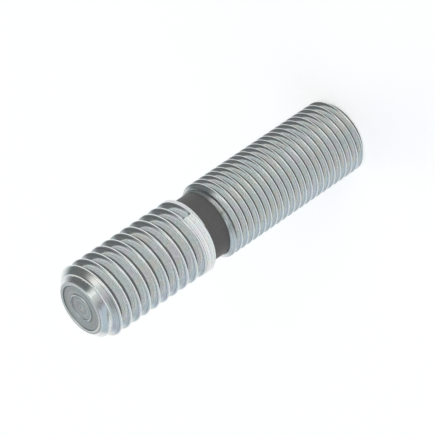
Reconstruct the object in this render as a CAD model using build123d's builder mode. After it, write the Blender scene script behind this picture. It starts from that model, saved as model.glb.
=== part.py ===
from build123d import *
import math
import os

os.makedirs("parts", exist_ok=True)

# Double ended stud: a half inch bar with a coarse thread on one end, a turned
# neck, and a fine thread on the other end.  Millimetres; the stud stands on
# its fine end with its axis on +Z, so the coarse end is at the top.

INCH = 25.4

# --- driving dimensions -------------------------------------------------------
LENGTH = 55.05                   # end to end
MAJOR_RADIUS = 0.25 * INCH       # crest of both threads
COARSE_PITCH = INCH / 13         # 1/2-13 UNC

FINE_LENGTH = 29.10              # fine end, up to the neck
NECK_LENGTH = 3.70               # turned relief, up to the collar
NECK_RADIUS = 5.45
SHOULDER = 0.55                  # axial length of the chamfer below the neck

FINE_POINT_HEIGHT = 0.70         # 45 degree lead of the fine end
POINT_HEIGHT = 1.85              # 45 degree lead of the coarse end
RIM_BEVEL = 0.15                 # broken edge between the lead and the end face

# Coarse groove: it starts in the collar, near the front, and leaves over the lead.
GROOVE_START = 1.57              # centre of its blind end above the neck
GROOVE_ANGLE = -64.0             # its blind end, as an angle from +X

# Coarse end face, turned in rings inside the rounded rim.
RIM_RADIUS = 4.00                # inside of the rim
RIM_SLOPE = 0.15
RIM_HEIGHT = 0.14                # rim above the dished face
RING_RADIUS = 2.20               # small raised ring in the dish
RING_WIDTH = 0.50
RING_HEIGHT = 0.08

STOCK = 4.0                      # spare bar past the coarse end, turned off last
OVERCUT = 1.0                    # turning tools, past the metal that they cut

POINT_RADIUS = MAJOR_RADIUS - POINT_HEIGHT
COLLAR_BOTTOM = FINE_LENGTH + NECK_LENGTH

# Unified external thread: 17/24 of the sharp 60 degree triangle is cut away,
# down to a flat root a sixth of the pitch wide, and the crest is an eighth.
THREAD_DEPTH = 17 / 24 * math.sqrt(3) / 2 * COARSE_PITCH
ROOT_RADIUS = MAJOR_RADIUS - THREAD_DEPTH
ROOT_HALF = COARSE_PITCH / 12
CLEAR = 0.15                     # groove cutter past the crest
MOUTH_HALF = ROOT_HALF + (THREAD_DEPTH + CLEAR) * math.tan(math.radians(30))


with BuildPart() as stud:
    # Bar, left long at the coarse end so that the groove runs out in metal.
    with BuildSketch(Plane.XZ):
        with BuildLine():
            Polyline(
                (0, 0),
                (MAJOR_RADIUS - FINE_POINT_HEIGHT, 0),
                (MAJOR_RADIUS, FINE_POINT_HEIGHT),
                (MAJOR_RADIUS, LENGTH + STOCK),
                (0, LENGTH + STOCK),
                close=True,
            )
        make_face()
    revolve(axis=Axis.Z)

    # Right-hand coarse groove, swept along the helix of its root.
    groove_bottom = COLLAR_BOTTOM + GROOVE_START
    groove_top = LENGTH + 1.25 * COARSE_PITCH
    root_helix = Edge.make_helix(COARSE_PITCH, groove_top - groove_bottom, ROOT_RADIUS)
    root_helix = root_helix.moved(Location((0, 0, groove_bottom), (0, 0, GROOVE_ANGLE)))
    blind_end = root_helix @ 0
    outward = Vector(blind_end.X, blind_end.Y, 0)
    with BuildSketch(Plane(origin=blind_end, x_dir=outward, z_dir=root_helix % 0)):
        with BuildLine():
            Polyline(
                (0, -ROOT_HALF),
                (0, ROOT_HALF),
                (THREAD_DEPTH + CLEAR, MOUTH_HALF),
                (THREAD_DEPTH + CLEAR, -MOUTH_HALF),
                close=True,
            )
        make_face()
    sweep(path=root_helix, is_frenet=True, mode=Mode.SUBTRACT)

    # Coarse end, turned to length and to its 45 degree lead.
    with BuildSketch(Plane.XZ):
        with BuildLine():
            Polyline(
                (0, LENGTH),
                (POINT_RADIUS, LENGTH),
                (MAJOR_RADIUS + OVERCUT, LENGTH - POINT_HEIGHT - OVERCUT),
                (MAJOR_RADIUS + OVERCUT, LENGTH + STOCK + OVERCUT),
                (0, LENGTH + STOCK + OVERCUT),
                close=True,
            )
        make_face()
    revolve(axis=Axis.Z, mode=Mode.SUBTRACT)
    chamfer(stud.edges().filter_by(GeomType.CIRCLE).sort_by(Axis.Z)[-1], length=RIM_BEVEL)

    # Neck, chamfered into the fine end and square against the collar.
    with BuildSketch(Plane.XZ):
        with BuildLine():
            Polyline(
                (NECK_RADIUS, FINE_LENGTH),
                (MAJOR_RADIUS, FINE_LENGTH - SHOULDER),
                (MAJOR_RADIUS + OVERCUT, FINE_LENGTH - SHOULDER),
                (MAJOR_RADIUS + OVERCUT, COLLAR_BOTTOM),
                (NECK_RADIUS, COLLAR_BOTTOM),
                close=True,
            )
        make_face()
    revolve(axis=Axis.Z, mode=Mode.SUBTRACT)

    # Dish inside the rim of the coarse end, with the small ring left standing.
    dish = LENGTH - RIM_HEIGHT
    with BuildSketch(Plane.XZ):
        with BuildLine():
            Polyline(
                (0, LENGTH + OVERCUT),
                (RIM_RADIUS, LENGTH + OVERCUT),
                (RIM_RADIUS, LENGTH),
                (RIM_RADIUS - RIM_SLOPE, dish),
                (RING_RADIUS + RING_WIDTH / 2, dish),
                (RING_RADIUS, dish + RING_HEIGHT),
                (RING_RADIUS - RING_WIDTH / 2, dish),
                (0, dish),
                close=True,
            )
        make_face()
    revolve(axis=Axis.Z, mode=Mode.SUBTRACT)

stud.part.label = "stud"
export_step(stud.part, "parts/stud.step")
print("volume", round(stud.part.volume, 2), "valid", stud.part.is_valid,
      "solids", len(stud.part.solids()), "faces", len(stud.part.faces()))
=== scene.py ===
import math
import bmesh
import bpy
from mathutils import Matrix, Vector

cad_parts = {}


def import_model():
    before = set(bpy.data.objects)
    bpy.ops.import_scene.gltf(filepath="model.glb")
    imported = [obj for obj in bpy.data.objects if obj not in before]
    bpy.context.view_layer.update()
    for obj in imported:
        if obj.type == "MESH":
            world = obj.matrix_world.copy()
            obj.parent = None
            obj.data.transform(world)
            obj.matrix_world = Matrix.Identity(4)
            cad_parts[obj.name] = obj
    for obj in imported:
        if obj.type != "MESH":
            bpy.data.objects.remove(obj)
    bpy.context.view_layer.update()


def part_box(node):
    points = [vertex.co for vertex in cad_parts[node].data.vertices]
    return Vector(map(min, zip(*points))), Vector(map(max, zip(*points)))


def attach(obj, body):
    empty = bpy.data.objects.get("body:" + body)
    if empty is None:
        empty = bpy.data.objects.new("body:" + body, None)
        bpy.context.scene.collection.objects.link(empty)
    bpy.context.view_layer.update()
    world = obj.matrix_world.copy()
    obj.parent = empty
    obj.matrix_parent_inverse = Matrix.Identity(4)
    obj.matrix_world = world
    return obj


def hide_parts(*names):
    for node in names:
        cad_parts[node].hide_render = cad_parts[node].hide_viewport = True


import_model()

# Metres, with the stud standing on its fine end and its axis on +Z.
MM = 0.001
INCH = 25.4 * MM

# ---------------------------------------------------------------- sizes
lowest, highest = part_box("stud")
LENGTH = highest.z                          # end to end
MAJOR = highest.x                           # crest radius of both threads

COARSE_PITCH = INCH / 13
FINE_PITCH = INCH / 20
COARSE_PHASE = 1.50 * MM                    # groove centre at +X, to a whole pitch
FINE_PHASE = 0.51 * MM

FINE_END = 29.10 * MM                       # fine end, up to the neck
SHOULDER = 0.55 * MM
NECK_RADIUS = 5.45 * MM
COLLAR = 32.80 * MM                         # underside of the collar
COLLAR_BEVEL = 0.20 * MM
FINE_CHAMFER = 0.70 * MM
POINT_CHAMFER = 1.85 * MM
POINT_ROUND = 0.30 * MM
RIM_RADIUS = 4.00 * MM
RIM_SLOPE = 0.15 * MM
RIM_HEIGHT = 0.14 * MM
RING_RADIUS = 2.20 * MM
RING_WIDTH = 0.50 * MM
RING_HEIGHT = 0.10 * MM

CREST_ROUND = 0.05                          # radius of the crests' edges, in pitches
GROOVE_END = COLLAR + 1.56 * MM             # centre of the coarse groove's blind end
SEAM = 0.07 * MM                            # depth of the seam that runs on past it

SEAM_HALF = 0.12 * MM                       # half of the seam's width
POINT_BAND = 0.55 * MM                      # top of the coarse end, left to end_face

COLUMNS = 128                               # faces round the stud
ROOT_STEPS = 3                              # faces on each rounded edge of the groove
TURN = 2 * math.pi
POINT_RADIUS = MAJOR - POINT_CHAMFER


# ---------------------------------------------------------------- shape
def depth_of(pitch):
    """Depth of a unified external thread: 17/24 of the sharp triangle."""
    return 17 / 24 * math.sqrt(3) / 2 * pitch


def groove_profile(pitch, steps, crest):
    """(height from the groove's centre, depth) from one crest to the next."""
    depth = depth_of(pitch)
    root = math.sqrt(3) / 12 * pitch            # radius of the rounded root
    mouth = 7 / 16 * pitch + crest * math.tan(math.radians(30))
    turns = [math.radians(60 * i / steps) for i in range(steps + 1)]
    half = [(root * math.sin(a), depth - root * (1 - math.cos(a))) for a in turns]
    edge = [(mouth - crest * math.sin(a), crest * (1 - math.cos(a)))
            for a in reversed(turns)]
    (z0, d0), (z1, d1) = half[-1], edge[0]
    half += [(z0 + f * (z1 - z0), d0 + f * (d1 - d0)) for f in (0.08, 0.92)] + edge
    return [(-z, d) for z, d in reversed(half[1:])] + half


def envelope(z):
    """Crest radius that the turned ends leave at height z."""
    radius = min(MAJOR, MAJOR - FINE_CHAMFER + z, POINT_RADIUS + (LENGTH - z))
    if COLLAR <= z < COLLAR + COLLAR_BEVEL:
        radius = min(radius, MAJOR - COLLAR_BEVEL + (z - COLLAR))
    if z < COLLAR:
        slope = (MAJOR - NECK_RADIUS) / SHOULDER
        radius = min(radius, MAJOR - (z - (FINE_END - SHOULDER)) * slope)
    return radius


def depth_at(profile, distance):
    """Depth of the groove at a distance from its centre."""
    for (d0, q0), (d1, q1) in zip(profile, profile[1:]):
        if d0 <= distance <= d1:
            return q0 + (q1 - q0) * (distance - d0) / (d1 - d0)
    return 0.0


def thread_grid(pitch, phase, bottom, top, start, steps):
    """Columns of (radius, height) from bottom to top, with rows along the helix.

    Below start there is no groove, and only a seam at its upper edge runs on.
    """
    profile = groove_profile(pitch, steps, CREST_ROUND * pitch)
    first = math.floor((bottom - phase) / pitch) - 2
    last = math.ceil((top - phase) / pitch) + 1
    columns = []
    for c in range(COLUMNS + 1):
        turn = c / COLUMNS
        column = []
        for k in range(first, last + 1):
            centre = phase + pitch * (k + turn)
            for d, cut in profile:
                z = min(max(centre + d, bottom), top)
                if z != centre + d:
                    cut = depth_at(profile, abs(z - centre))
                if centre < start:
                    near_edge = 1 - abs(d - 7 / 16 * pitch) / SEAM_HALF
                    cut = SEAM * max(0.0, near_edge) if centre > start - 0.5 * pitch else 0.0
                radius = MAJOR - cut
                column.append((min(radius, envelope(z)), z))
        columns.append(column)
    return columns


def lathe(points):
    """The same (radius, height) points for every column."""
    return [list(points) for c in range(COLUMNS + 1)]


def end_face():
    """Rim, dish and raised ring of the coarse end, out to in."""
    points = []
    centre_r = POINT_RADIUS - POINT_ROUND * math.tan(math.radians(22.5))
    centre_z = LENGTH - POINT_ROUND
    for i in range(7):
        a = math.radians(45 + 45 * i / 6)
        points.append((centre_r + POINT_ROUND * math.cos(a), centre_z + POINT_ROUND * math.sin(a)))
    dish = LENGTH - RIM_HEIGHT
    points += [
        (RIM_RADIUS + 0.05 * MM, LENGTH),
        (RIM_RADIUS, LENGTH - 0.01 * MM),
        (RIM_RADIUS - RIM_SLOPE, dish + 0.01 * MM),
        (RIM_RADIUS - RIM_SLOPE - 0.08 * MM, dish),
    ]
    steps = 10
    for i in range(steps + 1):
        x = -1 + 2 * i / steps
        points.append((RING_RADIUS - x * RING_WIDTH / 2,
                       dish + RING_HEIGHT * 0.5 * (1 + math.cos(math.pi * x))))
    points += [(0.9 * MM, dish), (0.3 * MM, dish), (0.15 * MM, dish - 0.03 * MM)]
    return points


def stud_mesh():
    whole = -LENGTH                             # a start below the stud, so no blind end
    fine = thread_grid(FINE_PITCH, FINE_PHASE, 0.0, FINE_END, whole, ROOT_STEPS)
    coarse = thread_grid(COARSE_PITCH, COARSE_PHASE, COLLAR, LENGTH - POINT_BAND,
                         GROOVE_END, ROOT_STEPS)
    neck = lathe([(NECK_RADIUS, FINE_END + (COLLAR - FINE_END) * i / 6) for i in range(7)])
    face = lathe(end_face())
    vertices, grid = [], []
    for c in range(COLUMNS + 1):
        angle = TURN * c / COLUMNS
        column = fine[c] + neck[c] + coarse[c] + face[c]
        grid.append(range(len(vertices), len(vertices) + len(column)))
        vertices += [(r * math.cos(angle), r * math.sin(angle), z) for r, z in column]
    faces = [(a[j], b[j], b[j + 1], a[j + 1])
             for a, b in zip(grid, grid[1:]) for j in range(len(a) - 1)]
    foot, tip = len(vertices), len(vertices) + 1
    vertices += [(0, 0, 0), (0, 0, LENGTH - RIM_HEIGHT - 0.04 * MM)]
    for a, b in zip(grid, grid[1:]):
        faces += [(b[0], a[0], foot), (a[-1], b[-1], tip)]
    mesh = bpy.data.meshes.new("stud_metal")
    mesh.from_pydata(vertices, [], faces)
    return mesh


def join_seam(mesh):
    """Joins the seam and removes the rows that the ends flatten."""
    bm = bmesh.new()
    bm.from_mesh(mesh)
    bmesh.ops.remove_doubles(bm, verts=bm.verts, dist=0.002 * MM)
    bmesh.ops.dissolve_degenerate(bm, edges=bm.edges, dist=0.001 * MM)
    bmesh.ops.recalc_face_normals(bm, faces=bm.faces)
    bm.to_mesh(mesh)
    bm.free()
    mesh.shade_smooth()
    mesh.set_sharp_from_angle(angle=math.radians(38))


# ---------------------------------------------------------------- material
class Graph:
    """Short ways to add the nodes of one material or world."""

    def __init__(self, tree):
        self.nodes, self.links = tree.nodes, tree.links

    def add(self, kind, **settings):
        node = self.nodes.new(kind)
        for name, value in settings.items():
            setattr(node, name, value)
        return node

    def feed(self, socket, value):
        if isinstance(value, bpy.types.NodeSocket):
            self.links.new(value, socket)
        else:
            socket.default_value = value

    def math(self, operation, *values):
        node = self.add("ShaderNodeMath", operation=operation)
        for socket, value in zip(node.inputs, values):
            self.feed(socket, value)
        return node.outputs[0]

    def step(self, value, low, high):
        """0 below low and 1 above high, with a smooth rise between."""
        node = self.add("ShaderNodeMapRange", interpolation_type="SMOOTHSTEP")
        for name, v in (("Value", value), ("From Min", low), ("From Max", high)):
            self.feed(node.inputs[name], v)
        return node.outputs["Result"]

    def ramp(self, value, stops, mode="EASE"):
        """Colours at places along the value, from the first stop to the last."""
        (first, _), (last, _) = stops[0], stops[-1]
        node = self.add("ShaderNodeValToRGB")
        ramp = node.color_ramp
        ramp.interpolation = mode
        while len(ramp.elements) < len(stops):
            ramp.elements.new(1.0)
        for element, (place, color) in zip(ramp.elements, stops):
            element.position = (place - first) / (last - first)
            element.color = (*color, 1)
        span = 1 / (last - first)
        self.feed(node.inputs[0], self.math("MULTIPLY_ADD", value, span, -first * span))
        return node.outputs["Color"]

    def mix_value(self, factor, low, high):
        """The same as mix, for plain numbers."""
        span = self.math("SUBTRACT", high, low)
        return self.math("MULTIPLY_ADD", factor, span, low)

    def mix(self, factor, a, b, blend="MIX"):
        node = self.add("ShaderNodeMix", data_type="RGBA", blend_type=blend)
        self.feed(node.inputs[0], factor)
        self.feed(node.inputs[6], a)
        self.feed(node.inputs[7], b)
        return node.outputs[2]


def grey(value, tint=(1.0, 1.0, 1.0)):
    """A grey of that value, with a slight tint."""
    return tuple(value * t for t in tint)


def face_shade_and_highlights(g, x, y):
    """The turned end face, by radius: darker at the centre, painted shade in its corners and
    painted highlights on its edges.
    """
    squares = (g.math("MULTIPLY", part, part) for part in (x, y))
    radius = g.math("SQRT", g.math("ADD", *squares))
    inner, outer = RING_RADIUS - RING_WIDTH / 2, RING_RADIUS + RING_WIDTH / 2
    rim = RIM_RADIUS - RIM_SLOPE
    line = 0.10 * MM
    tint = (0.94, 1.0, 1.02)
    # Painted shade at the feet of the ring and the rim, and painted highlights on the ring's crest
    # and the rim's edge.
    tone = g.ramp(radius, [
        (0.00, grey(0.45, tint)), (3 * line, grey(0.62, tint)),
        (inner - line, grey(0.64, tint)), (inner, grey(0.34, tint)),
        (RING_RADIUS, grey(0.95, tint)), (outer, grey(0.34, tint)),
        (outer + line, grey(0.60, tint)), (rim - line, grey(0.58, tint)),
        (rim, grey(0.32, tint)), (RIM_RADIUS, grey(0.90, tint)),
        (RIM_RADIUS + 4 * line, grey(1.0)),
    ], "LINEAR")
    turning = g.add("ShaderNodeTexNoise", noise_dimensions="1D")
    turning.inputs["Scale"].default_value = 1 / (0.30 * MM)
    turning.inputs["Detail"].default_value = 2
    g.feed(turning.inputs["W"], radius)
    circles = g.ramp(turning.outputs["Fac"], [(0.35, grey(0.80)), (0.65, grey(1.14))], "LINEAR")
    return g.mix(1.0, tone, circles, "MULTIPLY")


def zinc():
    """Bright zinc plate, with painted shade in the thread roots, a duller end face with painted
    shade and highlights, and a matt turned neck.
    """
    material = bpy.data.materials.new("zinc_plate")
    material.use_nodes = True
    g = Graph(material.node_tree)
    shader = g.nodes["Principled BSDF"]
    shader.inputs["Metallic"].default_value = 1.0
    place = g.add("ShaderNodeTexCoord").outputs["Object"]
    split = g.add("ShaderNodeSeparateXYZ")
    g.links.new(place, split.inputs[0])
    x, y, height = split.outputs
    on_coarse = g.step(height, COLLAR - 0.04 * MM, COLLAR - 0.01 * MM)
    neck = g.math("MULTIPLY", g.step(height, FINE_END - 0.05 * MM, FINE_END),
                  g.math("SUBTRACT", 1.0, on_coarse))

    # Part of a pitch above the groove's centre, along each helix.
    turn = g.math("DIVIDE", g.math("ARCTAN2", y, x), TURN)

    def along(pitch, phase):
        pitches = g.math("MULTIPLY_ADD", height, 1 / pitch, -phase / pitch)
        return g.math("FRACT", g.math("SUBTRACT", pitches, turn))

    coarse = along(COARSE_PITCH, COARSE_PHASE)
    fine = along(FINE_PITCH, FINE_PHASE)

    # Fine marks left by threading, which run along the helix.
    marks = g.add("ShaderNodeTexNoise", noise_dimensions="1D")
    marks.inputs["Scale"].default_value = 13
    marks.inputs["Detail"].default_value = 2
    g.feed(marks.inputs["W"], g.mix_value(on_coarse, fine, coarse))
    marks = g.ramp(marks.outputs["Fac"], [
        (0.34, grey(0.52)), (0.45, grey(0.96)), (0.55, grey(1.04)), (0.66, grey(1.22)),
    ], "LINEAR")

    # Nought at the root's middle and one half at the crest's, alike on both flanks.
    coarse, fine = (g.math("PINGPONG", part, 0.5) for part in (coarse, fine))
    # Painted shade: a thin dark line along the middle of each thread root, where shade falls.
    coarse_root_shade = g.ramp(coarse, [
        (0.00, grey(0.18)), (0.055, grey(0.24)), (0.09, grey(0.95)), (0.50, grey(1.0)),
    ])
    fine_root_shade = g.ramp(fine, [
        (0.00, grey(0.14)), (0.075, grey(0.18)), (0.12, grey(0.95)), (0.50, grey(1.0)),
    ])
    # Above the coarse groove's blind end the painted root shade fades out.
    solid = g.step(height, GROOVE_END + 0.2 * MM, GROOVE_END + 0.9 * MM)
    coarse_root_shade = g.mix(solid, (1, 1, 1, 1), coarse_root_shade)
    tone = g.mix(on_coarse, fine_root_shade, coarse_root_shade)
    tip = g.step(height, LENGTH - POINT_CHAMFER, LENGTH - POINT_CHAMFER + 0.2 * MM)
    tone = g.mix(tip, g.mix(1.0, tone, marks, "MULTIPLY"), (1, 1, 1, 1))
    face = g.step(height, LENGTH - 0.30 * MM, LENGTH - 0.22 * MM)
    tone = g.mix(face, tone, face_shade_and_highlights(g, x, y))

    grain = g.add("ShaderNodeTexNoise", noise_dimensions="3D")
    grain.inputs["Scale"].default_value = 1 / (0.22 * MM)
    grain.inputs["Detail"].default_value = 3
    g.links.new(place, grain.inputs["Vector"])
    speck = g.ramp(grain.outputs["Fac"], [
        (0.30, grey(0.88)), (0.50, grey(1.0)), (0.70, grey(1.10)),
    ])
    cloud = g.add("ShaderNodeTexNoise", noise_dimensions="3D")
    cloud.inputs["Scale"].default_value = 1 / (2.6 * MM)
    cloud.inputs["Detail"].default_value = 1
    g.links.new(place, cloud.inputs["Vector"])
    sheen = g.ramp(cloud.outputs["Fac"], [
        (0.30, (0.72, 0.71, 0.73)), (0.42, (0.69, 0.725, 0.73)), (0.50, (0.68, 0.73, 0.71)),
        (0.58, (0.72, 0.72, 0.69)), (0.70, (0.71, 0.71, 0.73)),
    ], "LINEAR")
    plate = g.mix(1.0, g.mix(1.0, sheen, tone, "MULTIPLY"), speck, "MULTIPLY")
    dull = g.mix(1.0, (0.13, 0.126, 0.124, 1), speck, "MULTIPLY")
    g.feed(shader.inputs["Base Color"], g.mix(neck, plate, dull))
    g.feed(shader.inputs["Roughness"], g.math("MULTIPLY_ADD", neck, 0.38, 0.15))

    bump = g.add("ShaderNodeBump")
    bump.inputs["Strength"].default_value = 0.05
    bump.inputs["Distance"].default_value = 0.02 * MM
    g.links.new(grain.outputs["Fac"], bump.inputs["Height"])
    g.links.new(bump.outputs[0], shader.inputs["Normal"])
    return material


# ---------------------------------------------------------------- stage
SENSOR = 36                                 # width, in millimetres as Blender wants it
LENS = 256.73                               # focal length, likewise
VIEWPOINT = Vector((-0.28, -413.68, 265.52)) * MM
FRAME_RIGHT = Vector((-0.56198, -0.41357, -0.71633))
FRAME_UP = Vector((0.82715, -0.28099, -0.48669))
FLOOR_HALF = 2.0                            # half of the floor's side
FLOOR_GLOW = 0.48
COOL = (0.93, 0.99, 1.02)
BLUE = (0.88, 0.99, 1.10)


def camera():
    """The photograph's viewpoint, rolled so that the stud lies across the frame."""
    data = bpy.data.cameras.new("camera")
    data.sensor_width = SENSOR
    data.lens = LENS
    obj = bpy.data.objects.new("camera", data)
    bpy.context.scene.collection.objects.link(obj)
    back = FRAME_RIGHT.cross(FRAME_UP)
    matrix = Matrix((FRAME_RIGHT, FRAME_UP, back)).transposed().to_4x4()
    matrix.translation = VIEWPOINT
    obj.matrix_world = matrix
    data.clip_start = 0.01
    bpy.context.scene.camera = obj
    return obj


def floor():
    """A pale floor, which the camera, metal and glass all see alike."""
    mesh = bpy.data.meshes.new("floor")
    s = FLOOR_HALF
    mesh.from_pydata([(-s, -s, 0), (s, -s, 0), (s, s, 0), (-s, s, 0)], [], [(0, 1, 2, 3)])
    obj = bpy.data.objects.new("floor", mesh)
    bpy.context.scene.collection.objects.link(obj)
    material = bpy.data.materials.new("pale_floor")
    material.use_nodes = True
    shader = material.node_tree.nodes["Principled BSDF"]
    shader.inputs["Base Color"].default_value = (0.9, 0.9, 0.9, 1)
    shader.inputs["Roughness"].default_value = 1.0
    g = Graph(material.node_tree)
    path = g.add("ShaderNodeLightPath")
    seen = g.math("MAXIMUM", path.outputs["Is Camera Ray"], path.outputs["Is Glossy Ray"])
    seen = g.math("MAXIMUM", seen, path.outputs["Is Transmission Ray"])
    shader.inputs["Emission Color"].default_value = (1, 1, 1, 1)
    g.feed(shader.inputs["Emission Strength"], g.math("MULTIPLY", seen, FLOOR_GLOW))
    mesh.materials.append(material)
    return obj


def world():
    """A light tent: pale low walls, panels in front and overhead, darker gaps between."""
    scene = bpy.context.scene
    scene.world = bpy.data.worlds.new("studio")
    scene.world.use_nodes = True
    g = Graph(scene.world.node_tree)
    background = g.nodes["Background"]
    place = g.add("ShaderNodeTexCoord").outputs["Generated"]
    split = g.add("ShaderNodeSeparateXYZ")
    g.links.new(place, split.inputs[0])
    x, y, z = split.outputs

    # Round the horizon, in half turns from the front; right is positive.
    azimuth = g.math("DIVIDE", g.math("ARCTAN2", x, g.math("MULTIPLY", y, -1.0)), math.pi)
    sides = g.ramp(azimuth, [
        (-1.00, grey(0.85, BLUE)), (-0.40, grey(0.35, COOL)), (-0.05, grey(1.15)),
        (0.20, grey(1.15)), (0.42, grey(0.20, COOL)), (1.00, grey(0.85, COOL)),
    ])
    above = g.ramp(x, [
        (-0.60, grey(0.70, BLUE)), (-0.36, grey(0.40, COOL)), (0.00, grey(0.72)),
        (0.22, grey(1.15)), (0.48, grey(0.20, COOL)),
    ])
    color = g.mix(g.step(z, 0.20, 0.45), sides, above)
    color = g.mix(g.step(z, 0.08, 0.20), (0.97, 0.97, 0.97, 1), color)
    g.links.new(color, background.inputs["Color"])
    background.inputs["Strength"].default_value = 1.0


stud = bpy.data.objects.new("threaded_stud", stud_mesh())
bpy.context.scene.collection.objects.link(stud)
join_seam(stud.data)
stud.data.materials.append(zinc())
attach(stud, "root")
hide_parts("stud")

camera()
floor()
world()
bpy.context.scene.view_settings.view_transform = "Standard"
